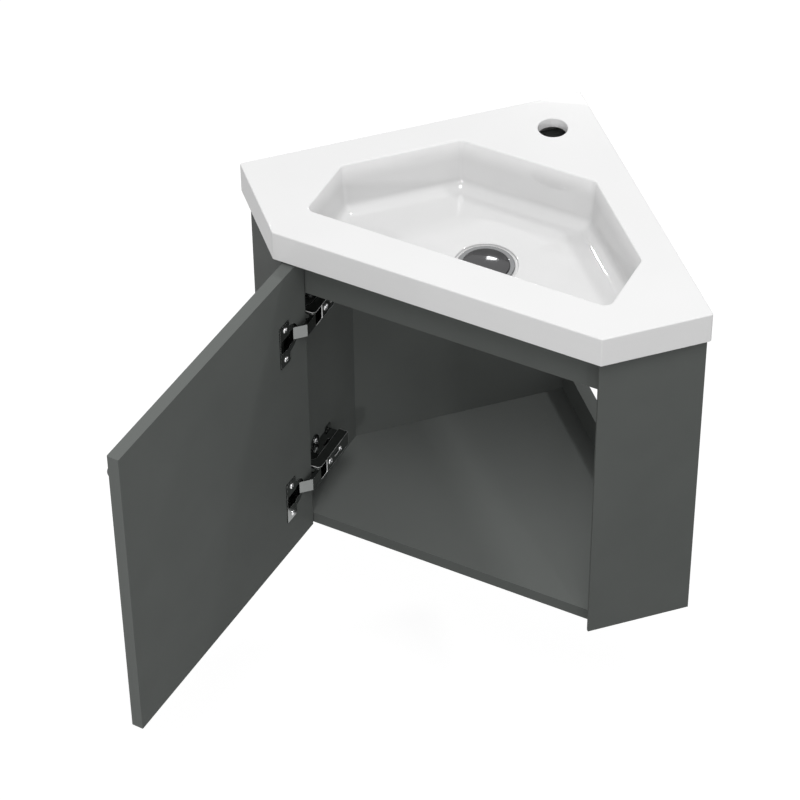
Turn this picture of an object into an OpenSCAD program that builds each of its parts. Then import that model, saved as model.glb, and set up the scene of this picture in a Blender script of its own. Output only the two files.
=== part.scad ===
// Corner vanity unit: a five-sided cast basin on a small corner cabinet with one hinged door.
// The origin is the wall corner, level with the basin's top face. +X runs to the right, the
// room is towards -Y and +Z is up, so all of the unit lies below and in front of the origin.

/* [Basin] */
// Length of the basin's edge along each wall
wall_len = 420; // [400:1:480]
// Length of each flat end, square to its wall
end_len = 131; // [120:1:150]
// Height of the basin's outer edge
rim_t = 40; // [34:1:60]
// Thickness of the bowl's shell below the rim
shell_t = 8; // [6:0.5:10]

/* [Bowl] */
// Gap between the bowl's shell and the hinge panel beside it
bowl_side_gap = 1.7; // [1:0.1:15]
// Rim left between each wall and the bowl
bowl_wall_gap = 42.5; // [40:0.5:55]
// Distance from the wall corner to the back edge of the bowl
bowl_back = 145.5; // [130:0.5:160]
// Rim left between the bowl and the front of the basin
bowl_front_rim = 53.5; // [50:0.5:70]
// Depth of the straight part of the bowl's wall
bowl_wall_d = 48; // [40:1:60]
// Lean of the bowl's wall, as inset for each unit of depth
bowl_draft = 0.08; // [0.04:0.01:0.12]
// Radius between the bowl's wall and its floor
bowl_fillet = 18; // [10:1:20]
// Radius of the bowl's corners seen from above
bowl_corner_r = 10; // [6:1:16]
// Fall of the floor from the foot of the wall to the waste
floor_fall = 7; // [4:0.5:12]

/* [Tap and waste holes] */
// Diameter of the tap hole
tap_hole_d = 35; // [30:0.5:38]
// Distance from the wall corner to the tap hole
tap_y = 77.5; // [65:0.5:90]
// Distance from the waste to the bowl's front edge
waste_front = 80.1; // [70:0.1:95]
// Diameter of the hole for the waste
waste_hole_d = 46; // [44:0.5:50]
// Diameter of the recess round the waste's flange
waste_recess_d = 75; // [72:0.5:80]
// Depth of the recess
waste_recess_t = 3; // [2.5:0.5:5]

/* [Cabinet] */
// Thickness of the boards
board_t = 16; // [15:0.5:19]
// Height of the cabinet below the basin
body_h = 436; // [400:1:700]
// Inset of the side panels from the basin's ends
side_inset = 10.5; // [5:0.5:20]
// Setback of the side panels' front edge from the front of the basin's ends
side_front_inset = 2.5; // [0.5:0.5:8]
// Width of the square front nose of the side panels, across the front
side_nose = 2.4; // [1.5:0.1:4]
// Distance from that nose back to the front of the rails and the floor
carcass_setback = 18; // [17:0.5:24]
// Gap between the boards and the walls
back_gap = 1; // [0.5:0.5:5]
// Height of the front rail
front_rail_h = 62; // [50:1:90]
// Height of the upper back rail
upper_rail_h = 64; // [60:1:90]
// Height of the lower back rail
lower_rail_h = 60; // [50:1:90]
// Step of the hinge panel's face in from the edge of the opening
hinge_step = 1.3; // [0.5:0.1:4]
// Diameter of the holes for the wall screws
fixing_hole_d = 6; // [5:0.5:8]
// Distance of the wall screws below the basin
fixing_drop = 46; // [44:1:50]
// Distance of the inner wall screw from the wall corner
fixing_near = 70; // [60:1:120]
// Distance of the outer wall screw from the wall corner
fixing_far = 300; // [240:1:330]

/* [Door] */
// Thickness of the door
door_t = 15; // [15:0.5:18]
// Gap on each side of the closed door
door_gap = 4.5; // [4:0.1:6]
// Gap between the basin and the top of the door
door_top_gap = 4; // [3:0.5:8]
// Gap between the closed door and the boards behind it
door_back_gap = 3; // [3:0.1:3.5]
// Radius of the door's upright edges
door_edge_r = 1; // [1:0.1:1.5]
// Angle at which the door stands open
open_angle = 93; // [90:0.1:95]
// Distance of the swing axis from the hinge edge of the door
axis_s = 7; // [6.8:0.1:7.2]
// Distance of the swing axis from the inner face of the door
axis_d = 6.6; // [6.4:0.1:6.8]
// Distance of the upper hinge below the basin
hinge_top_drop = 102; // [95:1:140]
// Height of the lower hinge above the cabinet's bottom
hinge_bottom_rise = 84; // [70:1:120]

/* [Hinges] */
// Diameter of the hinge cup
cup_d = 40; // [40:0.5:42]
// Distance of the cup's centre from the hinge edge of the door
cup_s = 38.2; // [38:0.1:38.5]
// Depth of the cup
cup_depth = 12.3; // [12.3:0.1:12.6]
// Length of the flange on the door
flange_l = 62; // [58:1:66]
// Width of the flange on the door
flange_w = 20; // [18:0.5:20]
// Thickness of the flange
flange_t = 1.5; // [1:0.1:1.5]
// Spacing of the cup's two screws
cup_screw_gap = 45; // [45:1:48]
// Thickness of the pressed steel of arm and link
steel_t = 1.2; // [1:0.1:1.3]
// Height of the moving link
link_h = 18; // [16:0.5:18.5]
// Spacing of the mounting plate's two screws
plate_screw_gap = 32; // [32:1:36]
// Distance of those screws behind the front of the boards
plate_screw_back = 37; // [37:0.5:40]

/* [Knob] */
// Diameter of the knob
knob_d = 15; // [14:0.5:24]
// Height of the knob
knob_h = 18.5; // [17:0.5:26]
// Distance of the knob from the free edge of the door
knob_edge = 25; // [20:1:60]
// Distance of the knob below the top of the door
knob_drop = 50; // [30:1:80]

/* [Waste] */
// Diameter of the waste's flange
waste_flange_d = 68; // [66:0.5:70]
// Outer diameter of the waste's thread
waste_thread_d = 41.9; // [41.9:0.1:42.4]
// Height of the waste's body below the bowl
waste_tail_l = 66; // [60:1:90]
// Diameter of the plug's cap
cap_d = 56; // [54:0.5:57]
// Diameter of the plug's stem
stem_d = 8; // [7:0.5:9]
// Radial clearance of parts that slide or turn in each other
run_clear = 0.1; // [0.05:0.01:0.1]
// Radial clearance of fasteners in their holes
fit_clear = 0.05; // [0.03:0.01:0.1]

/* [Hidden] */

$fn = 64;
root2 = sqrt(2);
eps = 0.5;

// A point given by its distance along a wall from the corner and its distance off that wall
function left_pt(along, off) = [(off - along) / root2, -(along + off) / root2];
function right_pt(along, off) = [(along - off) / root2, -(along + off) / root2];

// Levels
cabinet_top_z = -rim_t;
cabinet_bottom_z = -rim_t - body_h;
floor_top_z = cabinet_bottom_z + board_t;
bowl_foot_d = bowl_wall_d + bowl_fillet;
bowl_floor_d = bowl_foot_d + floor_fall;
seat_z = -bowl_floor_d - waste_recess_t;
under_z = seat_z - shell_t - 1;

// Plan of the cabinet
side_out = wall_len - side_inset;
side_in = side_out - board_t;
side_depth = end_len - side_front_inset;
back_in = back_gap + board_t;
nose_x = (side_out - side_depth) / root2;
nose_y = -(side_out + side_depth) / root2;
opening_x = nose_x - side_nose;
hinge_face_x = opening_x - hinge_step;
carcass_y = nose_y + carcass_setback;
rail_back_y = carcass_y + board_t;

// Where the side panel's upright cut meets its inner face
side_cut_off = side_in - opening_x * root2;

// The right side's inner face at the level of the carcass front
side_in_front_x = carcass_y + side_in * root2;

// Plan of the basin
basin_front = (wall_len + end_len) / root2;
bowl_front = basin_front - bowl_front_rim;
bowl_w = 2 * (hinge_face_x + rim_t * bowl_draft - shell_t - bowl_side_gap);
waste_y = bowl_front - waste_front;

// Plan of the closed door
door_x = opening_x - door_gap;
door_in_y = carcass_y - door_back_gap;
door_top_z = cabinet_top_z - door_top_gap;
door_h = door_top_z - cabinet_bottom_z;
axis_x = -door_x + axis_s;
axis_y = door_in_y - axis_d;
cup_x = -door_x + cup_s;
knob_x = door_x - knob_edge;
knob_z = door_top_z - knob_drop;
hinge_zs = [cabinet_top_z - hinge_top_drop, cabinet_bottom_z + hinge_bottom_rise];

// Plan of the hinge, measured from the pin that joins the link to the arm
pin_r = 1.5;
pin_x = -hinge_face_x + 4.5;
pin_y = carcass_y + 3.4;
arm_face = 22.3;
arm_rear = 70.5;
arm_web_front = 15.5;
arm_deep = 12.7;
elbow = -21;
strap = 12;
stem = 7.1;
plate_screw_y = carcass_y + plate_screw_back;
adjuster_y = carcass_y + 28;
fixer_y = carcass_y + 53;
wing_screw_x = cup_x + 9.5;
flange_x = cup_x + 10.5;
pocket_half = link_h / 2 + 0.75;
pocket_r = cup_d / 2 - 0.4;
pocket_d = cup_depth - 1;
arm_half = link_h / 2 + 0.5 + steel_t;
wood_screw_r = 1.9;
stud_r = 2;
stud_l = 18;
stud_in_door = 9.5;
cup_screw_l = 11;
plate_screw_l = 13.5;

// Fittings of the cabinet
cam_r = 7.5;
cam_h = 12.5;
cam_back = 24;
cam_slot = 8;
cam_slot_w = 1.6;
cam_slot_d = 2.5;
cam_offs = [back_in + 18, side_cut_off - 21];
back_cam_zs = [cabinet_top_z - 80, cabinet_bottom_z + 76];
bolt_r = 3;
bolt_gap = 0.5;
bolt_in_side = 10;
dowel_r = 3;
dowel_l = 30;
short_dowel_l = 25;
dowel_in_floor = 11;
dowel_in_side = 12;
dowel_in_hinge = 6;
hinge_dowel_edge = 14;
hinge_rear_y = -hinge_face_x - board_t / 2 - back_in * root2;
hinge_dowel_ys = [carcass_y + 60, hinge_rear_y - hinge_dowel_edge];
rail_dowel_y = rail_back_y - dowel_r - 2;
rail_dowel_edge = 18;

white = [0.95, 0.95, 0.94];
grey = [0.31, 0.33, 0.32];
nickel = [0.78, 0.79, 0.8];
steel = [0.6, 0.61, 0.62];
chrome = [0.72, 0.73, 0.75];
beech = [0.8, 0.66, 0.47];
rubber = [0.12, 0.12, 0.12];

module on_left_wall() rotate([0, 0, 225]) children();
module on_right_wall() mirror([1, 0, 0]) on_left_wall() children();

// Turns what is drawn on the closed door to where the open door stands
module on_open_door() {
  translate([axis_x, axis_y, 0])
    rotate([0, 0, -open_angle])
      translate([-axis_x, -axis_y, 0])
        children();
}

// ---- Basin ----

basin_outline = [
  [0, 0],
  right_pt(wall_len, 0),
  right_pt(wall_len, end_len),
  left_pt(wall_len, end_len),
  left_pt(wall_len, 0)
];

// The bowl's six corners, with every edge moved in by k
function bowl_corners(k) =
  let (
    side = bowl_w / 2 - k,
    front = -bowl_front + k,
    back = bowl_back + k,
    cut = (bowl_wall_gap + k) * root2
  )
  [
    [side, front], [side, -side - cut], [back - cut, -back],
    [cut - back, -back], [-side, -side - cut], [-side, front]
  ];

// Depths and insets of the sections that the bowl's surface passes through
wall_inset = bowl_wall_d * bowl_draft;
bowl_sections = concat(
  [[-1, -bowl_draft], [bowl_wall_d, wall_inset]],
  [for (a = [30, 60, 90]) [
    bowl_wall_d + bowl_fillet * sin(a),
    wall_inset + bowl_fillet * (1 - cos(a))
  ]]
);

// A convex body through the sections, moved out by grow, with a flat round foot
module bowl_body(grow, foot_r, foot_z, lift) {
  hull() {
    for (s = bowl_sections)
      for (p = bowl_corners(s[1] + bowl_corner_r))
        translate([p[0], p[1], -s[0] - lift * grow])
          cylinder(r = bowl_corner_r + grow, h = 0.01, $fn = 32);
    translate([0, -waste_y, foot_z])
      cylinder(r = foot_r, h = 0.01, $fn = 32);
  }
}

module basin() {
  color(white)
    difference() {
      union() {
        translate([0, 0, -rim_t])
          linear_extrude(rim_t) polygon(basin_outline);
        intersection() {
          bowl_body(shell_t, waste_recess_d / 2 + 3, under_z, 1);
          translate([-wall_len, -2 * wall_len, under_z])
            cube([2 * wall_len, 2 * wall_len, -under_z - rim_t / 2]);
        }
      }
      bowl_body(0, waste_recess_d / 2 + 1, -bowl_floor_d, 0);
      translate([0, -waste_y, seat_z])
        cylinder(d = waste_recess_d, h = waste_recess_t + eps);
      translate([0, -waste_y, under_z - eps])
        cylinder(d = waste_hole_d, h = 3 * shell_t);
      translate([0, -tap_y, -rim_t - eps])
        cylinder(d = tap_hole_d, h = rim_t + 2 * eps);
    }
}

// ---- Fittings hidden in the joints of the boards ----

// Places one fitting in wall coordinates: along the wall, off the wall, height
module cam_joints() {
  joint_z = cabinet_bottom_z + board_t / 2;
  joint_off = back_gap + board_t / 2;
  for (off = cam_offs) {
    on_left_wall() translate([side_in, off, joint_z]) children(0);
    on_right_wall() translate([side_in, off, joint_z]) children(0);
  }
  for (z = back_cam_zs)
    on_left_wall() translate([side_in, joint_off, z]) rotate([-90, 0, 0]) children(0);
  for (z = [cabinet_top_z - upper_rail_h / 2, cabinet_bottom_z + lower_rail_h / 2])
    on_right_wall() translate([side_in, joint_off, z]) rotate([-90, 0, 0]) children(0);
}

// The round lock, let into the broad face of a board
module cam_pocket(clear) {
  translate([-cam_back, 0, -board_t / 2 - (clear > 0 ? eps : 0)])
    cylinder(r = cam_r + clear, h = cam_h + (clear > 0 ? eps + clear : 0));
}

// The bolt, from the lock across the joint into the side panel
module joint_bolt(clear) {
  start = cam_back - cam_r - bolt_gap;
  translate([-start - clear, 0, 0])
    rotate([0, 90, 0])
      cylinder(r = bolt_r + clear, h = start + bolt_in_side + 2 * clear);
}

module fitting_cuts() {
  cam_joints() {
    union() {
      cam_pocket(fit_clear);
      joint_bolt(fit_clear);
    }
  }
}

module cam_locks() {
  color(steel)
    cam_joints()
      difference() {
        cam_pocket(0);
        for (a = [0, 90])
          translate([-cam_back, 0, -board_t / 2 - eps])
            rotate([0, 0, a])
              translate([-cam_slot / 2, -cam_slot_w / 2, 0])
                cube([cam_slot, cam_slot_w, cam_slot_d + eps]);
      }
}

module cam_bolts() {
  color(steel) cam_joints() joint_bolt(0);
}

// Wooden dowels: hinge panel to floor, front rail to hinge panel and to the right side
module dowel_set(clear) {
  r = dowel_r + clear;
  for (y = hinge_dowel_ys)
    translate([-hinge_face_x - board_t / 2, y, floor_top_z - dowel_in_floor - clear])
      cylinder(r = r, h = dowel_l + 2 * clear);
  for (z = [cabinet_top_z - rail_dowel_edge, cabinet_top_z - front_rail_h + rail_dowel_edge]) {
    translate([-hinge_face_x - dowel_in_hinge - clear, rail_dowel_y, z])
      rotate([0, 90, 0]) cylinder(r = r, h = short_dowel_l + 2 * clear);
    translate([side_in_front_x + dowel_in_side - dowel_l - clear, rail_dowel_y, z])
      rotate([0, 90, 0]) cylinder(r = r, h = dowel_l + 2 * clear);
  }
}

module dowels() {
  color(beech) dowel_set(0);
}

// ---- Boards ----

module board(z0, z1, outline) {
  translate([0, 0, z0]) linear_extrude(z1 - z0) polygon(outline);
}

side_outline = [
  right_pt(side_out, back_gap),
  right_pt(side_out, side_depth),
  [opening_x, -opening_x - side_depth * root2],
  right_pt(side_in, side_cut_off),
  right_pt(side_in, back_gap)
];

module side_panel_right() {
  color(grey)
    difference() {
      board(cabinet_bottom_z, cabinet_top_z, side_outline);
      fitting_cuts();
      dowel_set(fit_clear);
    }
}

module side_panel_left() {
  color(grey)
    difference() {
      mirror([1, 0, 0]) board(cabinet_bottom_z, cabinet_top_z, side_outline);
      fitting_cuts();
    }
}

module floor_panel() {
  color(grey)
    difference() {
      board(cabinet_bottom_z, floor_top_z, [
        [0, -back_in * root2],
        right_pt(side_in, back_in),
        [side_in_front_x, carcass_y],
        [-side_in_front_x, carcass_y],
        left_pt(side_in, back_in)
      ]);
      fitting_cuts();
      dowel_set(fit_clear);
    }
}

module front_rail() {
  color(grey)
    difference() {
      board(cabinet_top_z - front_rail_h, cabinet_top_z, [
        [-hinge_face_x, carcass_y],
        [side_in_front_x, carcass_y],
        [side_in_front_x + board_t, rail_back_y],
        [-hinge_face_x, rail_back_y]
      ]);
      dowel_set(fit_clear);
    }
}

module hinge_panel() {
  outer_x = hinge_face_x + board_t;
  color(grey)
    difference() {
      board(floor_top_z, cabinet_top_z, [
        [-hinge_face_x, carcass_y],
        [-hinge_face_x, -hinge_face_x - back_in * root2],
        [-outer_x, -outer_x - back_in * root2],
        [-outer_x, outer_x - side_in * root2],
        [-opening_x, opening_x - side_in * root2],
        [-opening_x, carcass_y]
      ]);
      dowel_set(fit_clear);
      for (z = hinge_zs)
        at_plate_screws(z) cylinder(r = wood_screw_r + fit_clear, h = plate_screw_l - 1.5);
    }
}

// Holes for the wall screws, square to the wall
module wall_screw_holes() {
  for (along = [fixing_near, fixing_far])
    translate([along, -eps, cabinet_top_z - fixing_drop])
      rotate([-90, 0, 0]) cylinder(d = fixing_hole_d, h = back_in + 2 * eps);
}

module back_panel() {
  color(grey)
    difference() {
      on_left_wall()
        translate([back_gap, back_gap, cabinet_bottom_z])
          cube([side_in - back_gap, board_t, body_h]);
      on_left_wall() wall_screw_holes();
      fitting_cuts();
    }
}

module back_rail(z0, h) {
  on_right_wall()
    translate([back_in, back_gap, z0])
      cube([side_in - back_in, board_t, h]);
}

module back_rail_upper() {
  color(grey)
    difference() {
      back_rail(cabinet_top_z - upper_rail_h, upper_rail_h);
      on_right_wall() wall_screw_holes();
      fitting_cuts();
    }
}

module back_rail_lower() {
  color(grey)
    difference() {
      back_rail(cabinet_bottom_z, lower_rail_h);
      fitting_cuts();
    }
}

// ---- Waste ----

flange_t_waste = 2;
seal_t = 1;
tube_r = waste_thread_d / 2;
tube_in_r = tube_r - 2.5;
flange_z = seat_z + seal_t;
tail_z = flange_z - waste_tail_l;
nut_h = 10;
under_seal_t = 3;
under_seal_r = waste_hole_d / 2 + 8;
nut_flats_r = 28;
nut_z = under_z - under_seal_t - nut_h;
cap_r = cap_d / 2;
guide_z = nut_z - 6;
guide_h = 10;
stem_top_z = flange_z - 3;

module at_waste(z) translate([0, -waste_y, z]) children();

module waste_body() {
  color(chrome) {
    at_waste(0)
      rotate_extrude()
        polygon([
          [tube_in_r, tail_z], [tube_r, tail_z], [tube_r, nut_z - 3],
          [tube_r - 0.8, nut_z - 3], [tube_r - 0.8, nut_z - 1], [tube_r, nut_z - 1],
          [tube_r, flange_z],
          [waste_flange_d / 2, flange_z], [waste_flange_d / 2, flange_z + 1],
          [waste_flange_d / 2 - 1, flange_z + flange_t_waste],
          [cap_r + 1.5, flange_z + flange_t_waste],
          [cap_r + 0.6, flange_z + 1.4],
          [tube_in_r + 1.5, flange_z + 1], [tube_in_r, flange_z - 1]
        ]);
    at_waste(guide_z) waste_guide();
  }
}

// The spider that steers the plug's stem
module waste_guide() {
  difference() {
    union() {
      cylinder(d = stem_d + 6, h = guide_h);
      for (a = [0, 120, 240])
        rotate([0, 0, a])
          translate([0, -1.2, guide_h / 2 - 3]) cube([tube_in_r + 0.5, 2.4, 6]);
    }
    translate([0, 0, -eps]) cylinder(d = stem_d + 2 * run_clear, h = guide_h + 2 * eps);
  }
}

module ring(outer_r, inner_r, h) {
  difference() {
    cylinder(r = outer_r, h = h);
    translate([0, 0, -eps]) cylinder(r = inner_r, h = h + 2 * eps);
  }
}

module waste_flange_seal() {
  color(rubber) at_waste(seat_z) ring(waste_flange_d / 2 - 1, tube_r + 0.3, seal_t);
}

module waste_under_seal() {
  color(rubber) at_waste(under_z - under_seal_t) ring(under_seal_r, tube_r + fit_clear, under_seal_t);
}

module waste_nut() {
  color(chrome)
    at_waste(nut_z)
      difference() {
        union() {
          cylinder(r = nut_flats_r, h = nut_h, $fn = 6);
          translate([0, 0, nut_h - 2]) cylinder(r = nut_flats_r + 1.5, h = 2);
        }
        translate([0, 0, -eps]) cylinder(r = tube_r + fit_clear, h = nut_h + 2 * eps);
      }
}

// A shallow domed cap that closes the waste
module plug_cap() {
  dome_r = 150;
  rim_z = flange_z + 1.7;
  color(chrome)
    at_waste(0)
      difference() {
        union() {
          intersection() {
            translate([0, 0, rim_z + 1 - dome_r + cap_r * cap_r / (2 * dome_r)])
              sphere(r = dome_r, $fn = 128);
            translate([0, 0, rim_z]) cylinder(r = cap_r, h = 12);
          }
          translate([0, 0, flange_z - 4]) cylinder(r = 13, h = rim_z - flange_z + 5);
        }
        translate([0, 0, flange_z - 4 - eps])
          cylinder(d = stem_d + 2 * fit_clear, h = stem_top_z - flange_z + 4 + eps);
      }
}

module plug_stem() {
  color(steel)
    at_waste(guide_z - 4)
      cylinder(d = stem_d, h = stem_top_z - guide_z + 4);
}

module plug_seal() {
  color(rubber)
    at_waste(flange_z - 1.8)
      rotate_extrude()
        polygon([
          [13 + fit_clear, 0], [16, 0], [18, 2.7], [20.4, 3.1], [20.4, 3.5], [13 + fit_clear, 3.5]
        ]);
}

// ---- Hinges ----

// Everything of one hinge is drawn with its middle at height z
module at_plate_screws(z) {
  for (side = [-1, 1])
    translate([-hinge_face_x, plate_screw_y, z + side * plate_screw_gap / 2])
      rotate([0, -90, 0]) children();
}

module mounting_plate(z) {
  wing_w = 16;
  block_front = pin_y + 21;
  block_rear = pin_y + arm_rear - 2;
  block_top = pin_x + arm_face - steel_t - 1.5;
  block_half = link_h / 2 - 0.2;
  color(nickel)
    difference() {
      union() {
        for (side = [-1, 1])
          translate([-hinge_face_x, plate_screw_y, z + side * plate_screw_gap / 2])
            rotate([0, 90, 0]) cylinder(d = wing_w, h = 2);
        translate([-hinge_face_x, plate_screw_y - wing_w / 2, z - plate_screw_gap / 2])
          cube([2, wing_w, plate_screw_gap]);
        translate([-hinge_face_x, block_front, z - block_half])
          cube([block_top + hinge_face_x, block_rear - block_front, 2 * block_half]);
        translate([-hinge_face_x, block_rear - 8, z - block_half - 5])
          cube([2, 12, 2 * (block_half + 5)]);
      }
      translate([-hinge_face_x + 10, block_front + 16, z - block_half - eps])
        cube([6, 14, 2 * block_half + 2 * eps]);
      at_plate_screws(z) translate([0, 0, -2 - eps]) cylinder(r = 2.2, h = 2 + 2 * eps);
      translate([block_top + eps, adjuster_y, z])
        rotate([0, -90, 0]) cylinder(r = 2.5 + fit_clear, h = 8);
      translate([block_top + eps, fixer_y, z])
        rotate([0, -90, 0]) cylinder(r = 2 + fit_clear, h = 8);
    }
}

module mounting_plate_upper() mounting_plate(hinge_zs[0]);
module mounting_plate_lower() mounting_plate(hinge_zs[1]);

// Plan of the arm's two cheeks, from the pin back along the mounting plate
arm_cheek = [
  [0, -3], [arm_face - 3, -2.2], [arm_face, 1.5],
  [arm_face, arm_rear], [arm_face - arm_deep, arm_rear], [arm_face - arm_deep, 13],
  [arm_face - arm_deep - 3, 7.5], [0, 3]
];

module hinge_arm(z) {
  color(nickel)
    translate([pin_x, pin_y, z])
      difference() {
        union() {
          for (side = [-1, 1])
            translate([0, 0, side * (arm_half - steel_t / 2) - steel_t / 2])
              linear_extrude(steel_t) {
                polygon(arm_cheek);
                circle(r = 3);
              }
          translate([arm_face - steel_t, arm_web_front, -arm_half])
            cube([steel_t, arm_rear - arm_web_front, 2 * arm_half]);
        }
        translate([0, 0, -arm_half - eps])
          cylinder(r = pin_r + fit_clear, h = 2 * arm_half + 2 * eps);
        translate([arm_face - steel_t - eps, adjuster_y - pin_y, 0])
          rotate([0, 90, 0]) cylinder(r = 2.5 + fit_clear, h = steel_t + 2 * eps);
        arm_slot();
      }
}

// The slot in which the arm slides under its fixing screw
module arm_slot() {
  slot_y = fixer_y - pin_y;
  translate([arm_face - steel_t - eps, slot_y, 0])
    rotate([0, 90, 0]) cylinder(r = 2.1, h = steel_t + 2 * eps);
  translate([arm_face - steel_t - eps, slot_y - 12, -2.1])
    cube([steel_t + 2 * eps, 12, 4.2]);
  translate([arm_face - steel_t - eps, slot_y - 12, 0])
    rotate([0, 90, 0]) cylinder(r = 2.1, h = steel_t + 2 * eps);
}

module hinge_arm_upper() hinge_arm(hinge_zs[0]);
module hinge_arm_lower() hinge_arm(hinge_zs[1]);

module cross_recess(r, depth) {
  for (a = [0, 90])
    rotate([0, 0, a]) translate([-r, -0.6, -depth]) cube([2 * r, 1.2, depth + eps]);
}

// A screw along +Z with its head's top at head_h and its shank below 0
module screw(shank_r, shank_l, head_r, head_h) {
  difference() {
    union() {
      translate([0, 0, -shank_l]) cylinder(r = shank_r, h = shank_l + head_h / 2);
      cylinder(r = head_r, h = head_h);
    }
    translate([0, 0, head_h]) cross_recess(head_r * 0.6, head_h * 0.7);
  }
}

module plate_screws() {
  color(nickel)
    for (z = hinge_zs)
      at_plate_screws(z)
        rotate([180, 0, 0]) translate([0, 0, 2]) screw(wood_screw_r, plate_screw_l, 3.6, 1.6);
}

module arm_adjusting_screws() {
  color(nickel)
    for (z = hinge_zs)
      translate([pin_x + arm_face, adjuster_y, z])
        rotate([0, 90, 0]) screw(2.5, 8, 4.4, 1.2);
}

module arm_fixing_screws() {
  color(nickel)
    for (z = hinge_zs)
      translate([pin_x + arm_face, fixer_y, z])
        rotate([0, 90, 0]) screw(2, 8, 3.4, 1.2);
}

module arm_pins() {
  color(steel)
    for (z = hinge_zs)
      translate([pin_x, pin_y, z - arm_half])
        cylinder(r = pin_r, h = 2 * arm_half);
}

// Plan of the link: a gooseneck that reaches round the door's corner into the cup
link_cheek = [
  [0, 3.3], [arm_face - 3.8, 3.3], [arm_face, -0.3], [arm_face, elbow],
  [arm_face - strap, elbow - strap], [arm_face - strap - stem, elbow - strap - 0.3],
  [arm_face - strap - stem, elbow - strap + 3.2], [8.6, -30.6], [11.7, -29.3],
  [16.3, -24.9], [17.9, elbow], [17.9, -7], [14.5, -3.3], [0, -3.3]
];
link_web = [
  [arm_face, -0.3], [arm_face, elbow], [arm_face - strap, elbow - strap],
  [arm_face - strap - stem, elbow - strap - 0.3],
  [arm_face - strap - stem, elbow - strap + 1.1],
  [arm_face - strap - 0.5, elbow - strap + 1.4],
  [arm_face - 1.4, elbow + 0.6], [arm_face - 1.4, -0.3]
];
link_pin = [arm_face - strap - stem + 1.8, elbow - strap + 1.35];
link_pin_r = 1;

module hinge_link(z) {
  half = link_h / 2;
  color(nickel)
    translate([pin_x, pin_y, z])
      difference() {
        union() {
          for (side = [-1, 1])
            translate([0, 0, side * (half - steel_t / 2) - steel_t / 2])
              linear_extrude(steel_t) {
                polygon(link_cheek);
                circle(r = 3.3);
                translate(link_pin) circle(r = link_pin_r + 0.6);
              }
          translate([0, 0, -half]) linear_extrude(link_h) polygon(link_web);
        }
        translate([0, 0, -half - eps])
          cylinder(r = pin_r + run_clear, h = link_h + 2 * eps);
        translate([link_pin[0], link_pin[1], -half - eps])
          cylinder(r = link_pin_r + fit_clear, h = link_h + 2 * eps);
      }
}

module hinge_link_upper() hinge_link(hinge_zs[0]);
module hinge_link_lower() hinge_link(hinge_zs[1]);

// The pins by which the links turn in the cups
module link_pins() {
  length = 2 * pocket_half - 0.4;
  color(steel)
    for (z = hinge_zs)
      translate([pin_x + link_pin[0], pin_y + link_pin[1], z - length / 2])
        cylinder(r = link_pin_r, h = length);
}

// ---- Door ----

module at_cup_screws(z) {
  for (side = [-1, 1])
    translate([wing_screw_x, door_in_y, z + side * cup_screw_gap / 2])
      rotate([-90, 0, 0]) children();
}

module rounded_board(w, t, h, r) {
  linear_extrude(h)
    union() {
      translate([-w / 2 + r, 0]) square([w - 2 * r, t]);
      translate([-w / 2, r]) square([w, t - 2 * r]);
      for (x = [-w / 2 + r, w / 2 - r])
        for (y = [r, t - r])
          translate([x, y]) circle(r = r);
    }
}

module door_panel() {
  color(grey)
    on_open_door()
      difference() {
        translate([0, door_in_y - door_t, cabinet_bottom_z])
          rounded_board(2 * door_x, door_t, door_h, door_edge_r);
        for (z = hinge_zs) {
          translate([cup_x, door_in_y + eps, z])
            rotate([90, 0, 0])
              cylinder(r = cup_d / 2 + fit_clear, h = cup_depth + 0.2 + eps);
          at_cup_screws(z)
            translate([0, 0, -10]) cylinder(r = wood_screw_r + fit_clear, h = 10 + eps);
        }
        translate([knob_x, door_in_y - door_t - eps, knob_z])
          rotate([-90, 0, 0]) cylinder(r = stud_r + fit_clear, h = stud_in_door + 0.5 + eps);
      }
}

module hinge_cup(z) {
  color(nickel)
    on_open_door()
      difference() {
        union() {
          translate([cup_x, door_in_y, z])
            rotate([90, 0, 0]) cylinder(d = cup_d, h = cup_depth);
          flange_plate(z);
        }
        cup_pocket(z);
        at_cup_screws(z) translate([0, 0, -eps]) cylinder(r = 2, h = flange_t + 2 * eps);
        at_cup_screws(z) translate([0, 0, -10]) cylinder(r = 2, h = 10);
      }
}

module flange_plate(z) {
  translate([flange_x - flange_w / 2, door_in_y, z - flange_l / 2])
    cube([flange_w, flange_t, flange_l]);
}

// The hollow that the link dips into
module cup_pocket(z) {
  intersection() {
    translate([cup_x, door_in_y + flange_t + eps, z])
      rotate([90, 0, 0]) cylinder(r = pocket_r, h = pocket_d + flange_t + eps);
    translate([cup_x - cup_d, door_in_y - pocket_d, z - pocket_half])
      cube([2 * cup_d, pocket_d + flange_t + 2 * eps, 2 * pocket_half]);
  }
}

module hinge_cup_upper() hinge_cup(hinge_zs[0]);
module hinge_cup_lower() hinge_cup(hinge_zs[1]);

module cup_screws() {
  color(nickel)
    on_open_door()
      for (z = hinge_zs)
        at_cup_screws(z) translate([0, 0, flange_t]) screw(wood_screw_r, cup_screw_l, 3.4, 1);
}

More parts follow.
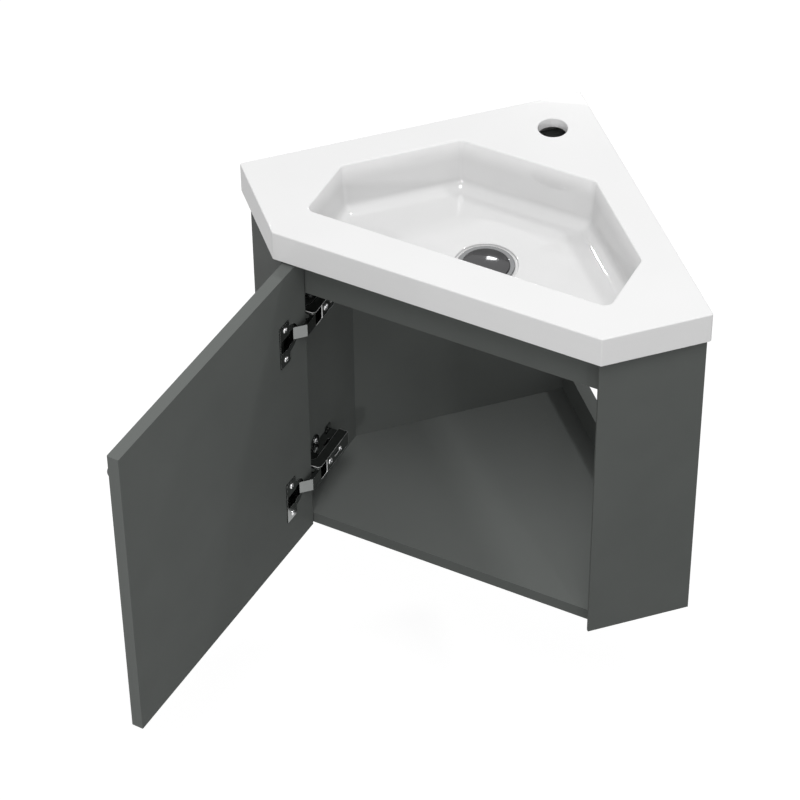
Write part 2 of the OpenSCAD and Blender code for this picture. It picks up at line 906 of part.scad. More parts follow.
// A ball knob on a short waisted foot, turned about its own axis
module door_knob() {
  ball_r = knob_d / 2;
  neck_r = ball_r * 0.55;
  foot_r = ball_r * 0.75;
  color(chrome)
    on_open_door()
      translate([knob_x, door_in_y - door_t, knob_z])
        rotate([90, 0, 0])
          difference() {
            union() {
              cylinder(r = foot_r, h = 1.5);
              translate([0, 0, 1.5]) cylinder(r1 = foot_r, r2 = neck_r, h = 1.5);
              cylinder(r = neck_r, h = knob_h - ball_r);
              translate([0, 0, knob_h - ball_r]) sphere(r = ball_r);
            }
            translate([0, 0, -eps])
              cylinder(r = stud_r + fit_clear, h = stud_l - stud_in_door + eps + 0.5);
          }
}

module knob_stud() {
  color(steel)
    on_open_door()
      translate([knob_x, door_in_y - door_t + stud_in_door, knob_z])
        rotate([90, 0, 0]) cylinder(r = stud_r, h = stud_l);
}

basin();
side_panel_left();
side_panel_right();
floor_panel();
front_rail();
hinge_panel();
back_panel();
back_rail_upper();
back_rail_lower();
cam_locks();
cam_bolts();
dowels();
waste_body();
waste_flange_seal();
waste_under_seal();
waste_nut();
plug_cap();
plug_stem();
plug_seal();
mounting_plate_upper();
mounting_plate_lower();
hinge_arm_upper();
hinge_arm_lower();
plate_screws();
arm_adjusting_screws();
arm_fixing_screws();
arm_pins();
hinge_link_upper();
hinge_link_lower();
link_pins();
door_panel();
hinge_cup_upper();
hinge_cup_lower();
cup_screws();
door_knob();
knob_stud();
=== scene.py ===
"""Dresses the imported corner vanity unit: a cast basin on a small grey corner cabinet.

The frame's solids give every place and size. This script builds the visible pieces over them,
finishes them with procedural materials and sets the studio in which they are photographed.
"""

import logging
import math
from dataclasses import dataclass
from enum import Enum
from typing import Iterator, Optional, Sequence

import bmesh
import bpy
from mathutils import Matrix, Vector
from mathutils.geometry import tessellate_polygon


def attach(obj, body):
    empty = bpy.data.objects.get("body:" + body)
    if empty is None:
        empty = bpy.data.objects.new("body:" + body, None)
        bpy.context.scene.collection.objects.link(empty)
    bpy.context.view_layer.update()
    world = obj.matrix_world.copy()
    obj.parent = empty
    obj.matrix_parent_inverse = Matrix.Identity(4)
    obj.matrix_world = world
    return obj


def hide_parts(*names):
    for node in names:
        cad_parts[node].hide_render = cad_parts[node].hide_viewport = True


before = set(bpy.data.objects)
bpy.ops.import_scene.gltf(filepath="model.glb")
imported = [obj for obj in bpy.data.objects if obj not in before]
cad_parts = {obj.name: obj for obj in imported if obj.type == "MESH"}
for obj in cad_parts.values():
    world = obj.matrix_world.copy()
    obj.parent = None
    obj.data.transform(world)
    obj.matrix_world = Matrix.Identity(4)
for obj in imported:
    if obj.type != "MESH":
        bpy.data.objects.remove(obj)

logging.basicConfig(level=logging.INFO, format="%(message)s")
LOG = logging.getLogger("vanity")

MM = 0.001
ROOT2 = math.sqrt(2.0)
# Radius in millimetres below which a turned profile meets its axis
POLE = 1e-6

Point2 = tuple[float, float]
Point3 = tuple[float, float, float]
Colour = tuple[float, float, float, float]
Ring = list[Point3]
# The two ends of a range
Span = tuple[float, float]
# Repeats in a metre and octaves of a texture
Grain = tuple[float, float]
# Each bump's grain and its depth in metres
Bumps = tuple[tuple[Grain, float], ...]
Inputs = tuple[tuple[str, float], ...]
Material = bpy.types.Material
Socket = bpy.types.NodeSocket


class Body(Enum):
    """The CAD bodies that pieces ride on."""

    CABINET = "cabinet"
    DOOR = "door"
    PLUG = "plug"


class Slot(Enum):
    """The record's material slots."""

    CAST = "mineral_cast"
    BOARD = "grey_board"
    NICKEL = "nickel_steel"
    ZINC = "zinc_steel"
    CHROME = "chrome_brass"
    RUBBER = "black_rubber"
    BEECH = "beech"


def linear(level: float) -> float:
    """Turns a display level from 0 to 255 into linear light."""
    value = level / 255.0
    return value / 12.92 if value <= 0.04045 else ((value + 0.055) / 1.055) ** 2.4


def tone(*levels: float) -> Colour:
    """Gives a linear colour from three display levels, or a grey from one."""
    return (*(linear(level) for level in (levels * 3)[:3]), 1.0)


def arc(steps: int, first: int = 0, span: float = 90.0) -> Iterator[Point2]:
    """Gives the sine and cosine at even steps of an arc that starts at 0 degrees.

    Args:
        steps: Steps in the whole arc.
        first: The first step that is given.
        span: The arc's degrees.
    """
    for step in range(first, steps + 1):
        turn = math.radians(span * step / steps)
        yield math.sin(turn), math.cos(turn)


def spoke(centre: Point2, radius: float, turn: float, height: float) -> Point3:
    """Gives the point at an angle in radians on a level circle."""
    return (centre[0] + radius * math.cos(turn), centre[1] + radius * math.sin(turn), height)


def circle(centre: Point2, radius: float, height: float, count: int) -> Ring:
    """Gives even points round a level circle."""
    return [spoke(centre, radius, 2 * math.pi * i / count, height) for i in range(count)]


def between(first: Ring, second: Ring, share: float) -> Ring:
    """Gives the ring that lies a share of the way from one ring to another."""
    return [tuple(Vector(a).lerp(Vector(b), share)) for a, b in zip(first, second)]


def show(name: str, data: bpy.types.ID) -> bpy.types.Object:
    """Puts a new object in the scene and gives it."""
    item = bpy.data.objects.new(name, data)
    bpy.context.scene.collection.objects.link(item)
    return item


# ---- Nodes ----


class Sheet:
    """Adds and feeds the nodes of one tree."""

    def __init__(self, tree: bpy.types.NodeTree) -> None:
        """Empties the tree.

        Args:
            tree: The tree of a material, a world or a modifier.
        """
        self.tree = tree
        tree.nodes.clear()

    def feed(self, socket: Socket, value: object) -> None:
        """Links an output to an input, or sets the input to a plain value."""
        if isinstance(value, Socket):
            self.tree.links.new(value, socket)
        else:
            socket.default_value = value

    def set(self, node: bpy.types.Node, **inputs: object) -> None:
        """Feeds a node's inputs, named with underscores for spaces."""
        for name, value in inputs.items():
            self.feed(node.inputs[name.replace("_", " ")], value)

    def add(self, kind: str, **inputs: object) -> bpy.types.Node:
        """Adds a node and feeds its inputs.

        Args:
            kind: The node's type.
            inputs: An output or a value for each input, with underscores for spaces.

        Returns:
            The new node.
        """
        node = self.tree.nodes.new(kind)
        self.set(node, **inputs)
        return node

    def maths(self, operation: str, *values: object) -> Socket:
        """Adds a math node on outputs or numbers and gives its result."""
        node = self.tree.nodes.new("ShaderNodeMath")
        node.operation = operation
        for socket, value in zip(node.inputs, values):
            self.feed(socket, value)
        return node.outputs["Value"]


class MaterialSheet(Sheet):
    """Builds one procedural material on a principled shader."""

    # Where most of a noise's values lie, and where a blend of colours starts and ends
    noise_span: Span = (0.25, 0.75)
    blend_span: Span = (0.3, 0.7)

    def __init__(self, name: str) -> None:
        """Starts the material.

        Args:
            name: The material's name.
        """
        self.material = bpy.data.materials.new(name)
        self.material.use_nodes = True
        super().__init__(self.material.node_tree)
        self.shader = self.add("ShaderNodeBsdfPrincipled")
        self.add("ShaderNodeOutputMaterial", Surface=self.shader.outputs["BSDF"])
        self.place = self.add("ShaderNodeTexCoord").outputs

    def axes(self, out: str) -> bpy.types.NodeOutputs:
        """Splits the Object or the Normal coordinate into X, Y and Z."""
        return self.add("ShaderNodeSeparateXYZ", Vector=self.place[out]).outputs

    def noise(self, grain: Grain) -> Socket:
        """Adds a noise on the piece's own coordinates and gives its value."""
        node = self.add(
            "ShaderNodeTexNoise", Vector=self.place["Object"], Scale=grain[0], Detail=grain[1]
        )
        return node.outputs["Fac"]

    def fade(self, source: Socket, ends: Span, high: float = 1.0) -> Socket:
        """Maps a value smoothly onto 0 to high.

        Args:
            source: The value.
            ends: The values that give 0 and high.
            high: The most it gives.

        Returns:
            The result.
        """
        node = self.add(
            "ShaderNodeMapRange", Value=source, From_Min=ends[0], From_Max=ends[1], To_Max=high
        )
        node.interpolation_type = "SMOOTHSTEP"
        return node.outputs["Result"]

    def blend(self, factor: Socket, first: Colour, second: Colour) -> Socket:
        """Blends two plain colours by a factor."""
        node = self.add("ShaderNodeValToRGB", Fac=factor)
        points = node.color_ramp.elements
        points[0].position, points[1].position = self.blend_span
        points[0].color, points[1].color = first, second
        return node.outputs["Color"]

    def mix(self, factor: Socket, first: object, second: object) -> Socket:
        """Mixes two colours, outputs or plain ones, by a factor."""
        node = self.tree.nodes.new("ShaderNodeMix")
        node.data_type = "RGBA"
        self.set(node, Factor=factor, A=first, B=second)
        return node.outputs["Result"]

    def wear(self, grain: Grain, ends: Span) -> None:
        """Lets the shader's roughness wander between two ends."""
        low, high = self.noise_span
        node = self.add(
            "ShaderNodeMapRange", Value=self.noise(grain),
            From_Min=low, From_Max=high, To_Min=ends[0], To_Max=ends[1],
        )
        self.set(self.shader, Roughness=node.outputs["Result"])

    def bump(self, heights: Sequence[tuple[Socket, float]], strength: float) -> None:
        """Adds bumps, each on top of the one before.

        Args:
            heights: Each bump's height and its depth in metres.
            strength: Strength of each bump.
        """
        below: dict[str, Socket] = {}
        for height, depth in heights:
            node = self.add(
                "ShaderNodeBump", Height=height, Strength=strength, Distance=depth, **below
            )
            below = {"Normal": node.outputs["Normal"]}
        self.set(self.shader, **below)


# ---- Finishes ----


@dataclass(frozen=True)
class Finish:
    """A finish of two blended tones, with a roughness that wanders and fine bumps.

    The inputs are the shader's own.
    """

    name: str
    first: Colour
    second: Colour
    clouds: Grain
    roughness: Span
    wear: Grain
    bumps: Bumps
    strength: float
    inputs: Inputs = ()

    def pattern(self, sheet: MaterialSheet, grain: Grain) -> Socket:
        """Adds the texture that the tones and the bumps follow."""
        return sheet.noise(grain)

    def colour(self, sheet: MaterialSheet) -> Socket:
        """Gives the base colour."""
        return sheet.blend(self.pattern(sheet, self.clouds), self.first, self.second)

    def make(self) -> Material:
        """Builds the material and returns it."""
        sheet = MaterialSheet(self.name)
        sheet.set(sheet.shader, Base_Color=self.colour(sheet), **dict(self.inputs))
        sheet.wear(self.wear, self.roughness)
        heights = [(self.pattern(sheet, grain), depth) for grain, depth in self.bumps]
        sheet.bump(heights, self.strength)
        return sheet.material


@dataclass(frozen=True)
class GelCoat(Finish):
    """The basin's glossy white coat over mineral cast, with shade painted into the bowl."""

    name: str = "gel_coat_white"
    first: Colour = tone(236)
    second: Colour = tone(238)
    clouds: Grain = (9.0, 3.0)
    roughness: Span = (0.12, 0.16)
    wear: Grain = (55.0, 4.0)
    bumps: Bumps = (((38.0, 1.0), 0.00005),)
    strength: float = 0.35
    inputs: Inputs = (
        ("IOR", 1.5), ("Specular_IOR_Level", 0.03), ("Coat_Roughness", 0.02), ("Coat_IOR", 1.9),
    )
    # Painted shade: the bowl is toned darker than the slab, and its walls darker than its floor.
    bowl: Colour = tone(227)
    wall: Colour = tone(212)
    gloss: Span = (0.1, 0.9)
    # Metres where the bowl's painted shade starts and is full, below, aside of and behind its rim
    below: Span = (-0.001, -0.028)
    aside: Span = (0.203, 0.193)
    behind: Span = (-0.38, -0.35)

    def depth(self, sheet: MaterialSheet) -> Socket:
        """Gives a factor that is 0 on the slab and 1 down in the bowl, where shade is painted in
        and the coat is glossier.
        """
        spot = sheet.axes("Object")
        side = sheet.maths("ABSOLUTE", spot["X"])
        inside = sheet.maths(
            "MULTIPLY", sheet.fade(spot["Z"], self.below), sheet.fade(side, self.aside)
        )
        return sheet.maths("MULTIPLY", inside, sheet.fade(spot["Y"], self.behind))

    def colour(self, sheet: MaterialSheet) -> Socket:
        """Gives the base colour with shade painted into the bowl, darker on its walls than on its
        floor, and glosses the bowl more than the slab.
        """
        depth = self.depth(sheet)
        low, high = self.gloss
        gloss = sheet.add("ShaderNodeMapRange", Value=depth, To_Min=low, To_Max=high)
        sheet.set(sheet.shader, Coat_Weight=gloss.outputs["Result"])
        # Painted shade: faces that look sideways take the darker wall tone, faces that look up the
        # lighter bowl tone.
        inside = sheet.blend(sheet.axes("Normal")["Z"], self.wall, self.bowl)
        return sheet.mix(depth, super().colour(sheet), inside)


@dataclass(frozen=True)
class Lacquer(Finish):
    """The satin grey lacquer on the cabinet's boards and door, with light painted on the faces
    that look up and on the open door's free edge.
    """

    name: str = "satin_lacquer_grey"
    first: Colour = tone(97, 100, 98)
    second: Colour = tone(100, 103, 101)
    clouds: Grain = (14.0, 4.0)
    roughness: Span = (0.4, 0.48)
    wear: Grain = (420.0, 3.0)
    bumps: Bumps = (((260.0, 1.0), 0.00003), ((1900.0, 2.0), 0.00001))
    strength: float = 0.5
    inputs: Inputs = (("IOR", 1.45), ("Specular_IOR_Level", 0.01))
    # Painted light: the lighter tone for faces that look up and for the open door's free edge.
    edge: Colour = tone(116, 119, 117)
    # Parts of the normal where the painted light's lighter tone starts and is full, and its share
    # on top
    painted_light_up: Span = (0.8, 0.97)
    painted_light_up_share: float = 0.6
    painted_light_front: Span = (-0.8, -0.97)
    # Metres where the open door's free edge starts
    painted_light_door: Span = (-0.5, -0.55)

    def edges(self, sheet: MaterialSheet) -> Socket:
        """Gives a factor for the faces that look up and for the open door's free edge.

        This is painted light: the floor panel, the boards' upward faces and the open door's free
        edge are made lighter, as if more light fell on them.
        """
        facing, spot = sheet.axes("Normal"), sheet.axes("Object")
        front = sheet.fade(facing["Y"], self.painted_light_front)
        free = sheet.maths("MULTIPLY", front, sheet.fade(spot["Y"], self.painted_light_door))
        top = sheet.fade(facing["Z"], self.painted_light_up, self.painted_light_up_share)
        return sheet.maths("MAXIMUM", top, free)

    def colour(self, sheet: MaterialSheet) -> Socket:
        """Gives the base colour with painted light on the upward faces and on the open door's free
        edge.
        """
        return sheet.mix(self.edges(sheet), super().colour(sheet), self.edge)


@dataclass(frozen=True)
class Beech(Finish):
    """The raw beech of the dowels."""

    name: str = "beech_raw"
    first: Colour = tone(196, 158, 112)
    second: Colour = tone(214, 180, 136)
    clouds: Grain = (180.0, 3.0)
    roughness: Span = (0.6, 0.7)
    wear: Grain = (500.0, 2.0)
    bumps: Bumps = (((180.0, 3.0), 0.00004),)
    strength: float = 0.3
    distortion: float = 3.0

    def pattern(self, sheet: MaterialSheet, grain: Grain) -> Socket:
        """Adds the year rings that the tones and the bumps follow."""
        node = sheet.add(
            "ShaderNodeTexWave", Vector=sheet.place["Object"],
            Scale=grain[0], Detail=grain[1], Distortion=self.distortion,
        )
        return node.outputs["Fac"]


def metal(name: str, base: Colour, roughness: Span) -> Material:
    """Makes a plated or polished metal.

    Args:
        name: The material's name.
        base: Its brighter tone.
        roughness: The ends of its roughness.
    """
    shade = 0.94
    darker = tuple(shade * c for c in base[:3]) + (1.0,)
    return Finish(
        name, darker, base, (120.0, 3.0), roughness, (900.0, 3.0),
        (((1800.0, 2.0), 0.000006),), 0.3, (("Metallic", 1.0),),
    ).make()


class Finishes:
    """One material for each slot, and two that differ inside a slot."""

    def __init__(self) -> None:
        """Makes the materials."""
        self.slots = {
            Slot.CAST: GelCoat().make(),
            Slot.BOARD: Lacquer().make(),
            Slot.NICKEL: metal("nickel_plate", tone(130, 132, 131), (0.1, 0.18)),
            Slot.ZINC: metal("zinc_plate", tone(226, 226, 227), (0.13, 0.19)),
            Slot.CHROME: metal("polished_chrome", tone(152, 153, 154), (0.05, 0.09)),
            Slot.RUBBER: Finish(
                "seal_rubber_black", tone(24), tone(32), (300.0, 2.0),
                (0.6, 0.75), (700.0, 2.0), (((1500.0, 2.0), 0.00002),), 0.4,
            ).make(),
            Slot.BEECH: Beech().make(),
        }
        self.dark_chrome = metal("dark_chrome", tone(94, 94, 95), (0.06, 0.1))
        # Painted highlight: a bright rough nickel on the hinges' rounded edges, standing in for
        # the lamps' glints along them.
        self.painted_highlight_edge = metal("nickel_bright_edge", tone(236), (0.42, 0.5))


# ---- Mesh tools ----


class Skin:
    """Collects the points and faces of one closed mesh, in millimetres."""

    # Metres below which points are joined and edges are dropped
    joined: float = 1e-6
    dropped: float = 1e-7

    def __init__(self) -> None:
        """Starts an empty skin."""
        self.points: list[Vector] = []
        self.faces: list[tuple[int, ...]] = []

    def ring(self, points: Ring) -> list[int]:
        """Adds points and returns their numbers.

        Args:
            points: Points in millimetres.
        """
        start = len(self.points)
        self.points.extend(Vector(p) for p in points)
        return list(range(start, len(self.points)))

    def strip(self, first: Sequence[int], second: Sequence[int]) -> None:
        """Joins two closed rings of as many points with quads."""
        count = len(first)
        for i in range(count):
            j = (i + 1) % count
            self.faces.append((first[i], first[j], second[j], second[i]))

    def fan(self, ring: Sequence[int], hub: int) -> None:
        """Joins a closed ring to one point."""
        count = len(ring)
        for i in range(count):
            self.faces.append((ring[i], ring[(i + 1) % count], hub))

    def plate(self, loops: Sequence[Sequence[int]]) -> None:
        """Fills a flat face that has an outer loop and holes.

        Args:
            loops: The outer loop, then the holes.
        """
        numbers = [n for loop in loops for n in loop]
        flat = [[self.points[n] for n in loop] for loop in loops]
        for a, b, c in tessellate_polygon(flat):
            self.faces.append((numbers[a], numbers[b], numbers[c]))

    def sleeve(self, rings: Sequence[Ring]) -> list[list[int]]:
        """Adds rings of as many points each and joins each ring to the next.

        Args:
            rings: The rings, in order.

        Returns:
            The numbers of each ring's points.
        """
        numbers = [self.ring(points) for points in rings]
        for first, second in zip(numbers, numbers[1:]):
            self.strip(first, second)
        return numbers

    def turned(self, profile: Sequence[Point2], count: int, centre: Point2 = (0.0, 0.0)) -> None:
        """Turns a profile that starts and ends on the axis about that upright axis.

        Args:
            profile: Radius and height of each point.
            count: Points round the axis.
            centre: The axis.
        """
        rings = [
            self.ring(circle(centre, radius, height, count if radius > POLE else 1))
            for radius, height in profile
        ]
        for first, second in zip(rings, rings[1:]):
            if len(first) == 1:
                self.fan(second[::-1], first[0])
            elif len(second) == 1:
                self.fan(first, second[0])
            else:
                self.strip(first, second)

    def mesh(self, name: str, place: Matrix = Matrix.Identity(4)) -> bpy.types.Mesh:
        """Makes the mesh in metres, with its faces pointing outwards.

        Args:
            name: The mesh's name.
            place: Where the skin goes, in metres.

        Returns:
            The mesh.
        """
        mesh = bpy.data.meshes.new(name)
        mesh.from_pydata([p * MM for p in self.points], [], self.faces)
        shape = bmesh.new()
        shape.from_mesh(mesh)
        bmesh.ops.remove_doubles(shape, verts=shape.verts, dist=self.joined)
        bmesh.ops.dissolve_degenerate(shape, edges=shape.edges, dist=self.dropped)
        bmesh.ops.recalc_face_normals(shape, faces=shape.faces)
        bmesh.ops.transform(shape, matrix=place, verts=shape.verts)
        shape.to_mesh(mesh)
        shape.free()
        return mesh


@dataclass
class Workshop:
    """Turns meshes into finished pieces of the object."""

    finishes: Finishes

    def piece(
        self,
        mesh: bpy.types.Mesh,
        body: Body,
        slot: Slot,
        nodes: Sequence[str] = (),
        finish: Optional[Material] = None,
        crease: float = 35.0,
    ) -> None:
        """Makes a piece of the object from a mesh that is already in place.

        Args:
            mesh: The mesh, in metres, in the row frame.
            body: The body it rides on.
            slot: Its material slot.
            nodes: The CAD nodes that it stands for.
            finish: Its material, if it isn't the slot's own.
            crease: Edges sharper than this many degrees stay sharp.
        """
        piece = show(mesh.name, mesh)
        mesh.materials.clear()
        mesh.materials.append(finish or self.finishes.slots[slot])
        mesh.shade_smooth()
        mesh.set_sharp_from_angle(angle=math.radians(crease))
        self.even_normals(piece)
        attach(piece, body.value)
        if nodes:
            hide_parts(*nodes)
        LOG.info("piece %s on %s: %d faces", piece.name, body.value, len(mesh.polygons))

    @staticmethod
    def even_normals(piece: bpy.types.Object) -> None:
        """Lets the large faces keep flat shading beside rounded edges."""
        weighted = piece.modifiers.new("normals", "WEIGHTED_NORMAL")
        weighted.keep_sharp = True

    def dress(
        self, node: str, slot: Slot, bevel: float, edge_finish: Optional[Material] = None
    ) -> None:
        """Finishes a CAD node that stays in view.

        Args:
            node: The CAD node.
            slot: Its material slot.
            bevel: Width in millimetres of its rounded edges.
            edge_finish: The material of its rounded edges, a bright metal that paints highlights
                along them.
        """
        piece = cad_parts[node]
        material = self.finishes.slots[slot]
        if not piece.material_slots:
            piece.data.materials.append(material)
        for place in piece.material_slots:
            place.material = material
        piece.data.shade_smooth()
        weld = piece.modifiers.new("weld", "WELD")
        weld.merge_threshold = 0.001 * MM
        edge = piece.modifiers.new("edge", "BEVEL")
        edge.width = bevel * MM
        edge.segments = 2
        edge.limit_method = "ANGLE"
        edge.angle_limit = math.radians(40.0)
        if edge_finish is not None:
            piece.data.materials.append(edge_finish)
            edge.material = len(piece.material_slots) - 1
        self.even_normals(piece)
        LOG.info("dressed %s as %s", node, material.name)


# ---- Screws ----


@dataclass(frozen=True)
class Screw:
    """A pan head screw with a cross recess, in millimetres."""

    head_r: float
    head_h: float
    shank_r: float
    shank_l: float
    recess_share: float = 0.27

    def sizes(self) -> dict[str, float]:
        """Gives the tree's named inputs in metres."""
        return {
            "Head Radius": self.head_r * MM,
            "Head Height": self.head_h * MM,
            "Shank Radius": self.shank_r * MM,
            "Shank Length": self.shank_l * MM,
            "Recess Width": self.recess_share * self.head_r * MM,
        }


class ScrewSetter(Sheet):
    """Sets screws on points with one node tree."""

    # The dome's power, and the recess's reach and lift in shares of the head's sizes
    dome: float = 0.55
    recess_reach: float = 1.25
    recess_lift: float = 0.85

    def __init__(self) -> None:
        """Builds the tree."""
        super().__init__(bpy.data.node_groups.new("screws_on_points", "GeometryNodeTree"))
        sockets = self.tree.interface
        sockets.new_socket("Geometry", in_out="INPUT", socket_type="NodeSocketGeometry")
        for name in Screw(1.0, 1.0, 1.0, 1.0).sizes():
            sockets.new_socket(name, in_out="INPUT", socket_type="NodeSocketFloat")
        sockets.new_socket("Finish", in_out="INPUT", socket_type="NodeSocketMaterial")
        sockets.new_socket("Geometry", in_out="OUTPUT", socket_type="NodeSocketGeometry")
        self.source = self.add("NodeGroupInput").outputs
        self.build()

    def moved(self, geometry: Socket, height: Socket) -> Socket:
        """Moves a mesh up by a height."""
        up = self.add("ShaderNodeCombineXYZ", Z=height).outputs["Vector"]
        node = self.add("GeometryNodeTransform", Geometry=geometry, Translation=up)
        return node.outputs["Geometry"]

    def head(self) -> Socket:
        """Builds the domed head over its flat seat and cuts the cross recess."""
        radius, height = self.source["Head Radius"], self.source["Head Height"]
        width = self.source["Recess Width"]
        ball = self.add("GeometryNodeMeshUVSphere", Segments=40, Rings=20, Radius=1.0)
        spot = self.add("GeometryNodeInputPosition").outputs["Position"]
        apart = self.add("ShaderNodeSeparateXYZ", Vector=spot).outputs
        crown = self.maths("POWER", self.maths("MAXIMUM", apart["Z"], 0.0), self.dome)
        place = self.add(
            "ShaderNodeCombineXYZ",
            X=self.maths("MULTIPLY", apart["X"], radius),
            Y=self.maths("MULTIPLY", apart["Y"], radius),
            Z=self.maths("MULTIPLY", crown, height),
        )
        dome = self.add(
            "GeometryNodeSetPosition", Geometry=ball.outputs["Mesh"],
            Position=place.outputs["Vector"],
        )
        cut = self.add("GeometryNodeMeshBoolean", Mesh_1=dome.outputs["Geometry"])
        cut.operation = "DIFFERENCE"
        reach = self.maths("MULTIPLY", radius, self.recess_reach)
        up = self.maths("MULTIPLY", height, self.recess_lift)
        for x, y in ((reach, width), (width, reach)):
            size = self.add("ShaderNodeCombineXYZ", X=x, Y=y, Z=height)
            bar = self.add("GeometryNodeMeshCube", Size=size.outputs["Vector"])
            self.feed(cut.inputs["Mesh 2"], self.moved(bar.outputs["Mesh"], up))
        return cut.outputs["Mesh"]

    def shank(self) -> Socket:
        """Builds the shank below the seat."""
        length = self.source["Shank Length"]
        rod = self.add(
            "GeometryNodeMeshCylinder", Vertices=24,
            Radius=self.source["Shank Radius"], Depth=length,
        )
        return self.moved(rod.outputs["Mesh"], self.maths("MULTIPLY", length, -0.5))

    def build(self) -> None:
        """Joins head and shank, sets one on each point and makes the set real."""
        whole = self.add("GeometryNodeJoinGeometry")
        for part in (self.head(), self.shank()):
            self.feed(whole.inputs["Geometry"], part)
        turn = self.tree.nodes.new("GeometryNodeInputNamedAttribute")
        turn.data_type = "FLOAT_VECTOR"
        self.set(turn, Name="turn")
        put = self.add(
            "GeometryNodeInstanceOnPoints", Points=self.source["Geometry"],
            Instance=whole.outputs["Geometry"], Rotation=turn.outputs["Attribute"],
        )
        real = self.add("GeometryNodeRealizeInstances", Geometry=put.outputs["Instances"])
        finish = self.add(
            "GeometryNodeSetMaterial", Geometry=real.outputs["Geometry"],
            Material=self.source["Finish"],
        )
        self.add("NodeGroupOutput", Geometry=finish.outputs["Geometry"])

    def fasten(
        self, name: str, screw: Screw, places: Sequence[Matrix], finish: Material
    ) -> bpy.types.Mesh:
        """Sets a screw at each place.

        Args:
            name: The mesh's name.
            screw: The screw's sizes.
            places: Where each screw's seat is, with the head along its Z, in metres.
            finish: The screws' material.

        Returns:
            The plain mesh of all the screws.
        """
        seats = bpy.data.meshes.new(f"{name}_seats")
        seats.from_pydata([place.translation for place in places], [], [])
        turns = seats.attributes.new("turn", "FLOAT_VECTOR", "POINT")
        for value, place in zip(turns.data, places):
            value.vector = tuple(place.to_euler())
        holder = show(f"{name}_holder", seats)
        modifier = holder.modifiers.new("screws", "NODES")
        modifier.node_group = self.tree
        values: dict[str, object] = {**screw.sizes(), "Finish": finish}
        for item in self.tree.interface.items_tree:
            if item.item_type == "SOCKET" and item.in_out == "INPUT" and item.name in values:
                modifier[item.identifier] = values[item.name]
        graph = bpy.context.evaluated_depsgraph_get()
        mesh = bpy.data.meshes.new_from_object(holder.evaluated_get(graph), depsgraph=graph)
        mesh.name = name
        holder.modifiers.clear()
        bpy.data.objects.remove(holder)
        if "turn" in mesh.attributes:
            mesh.attributes.remove(mesh.attributes["turn"])
        return mesh


# ---- Basin ----


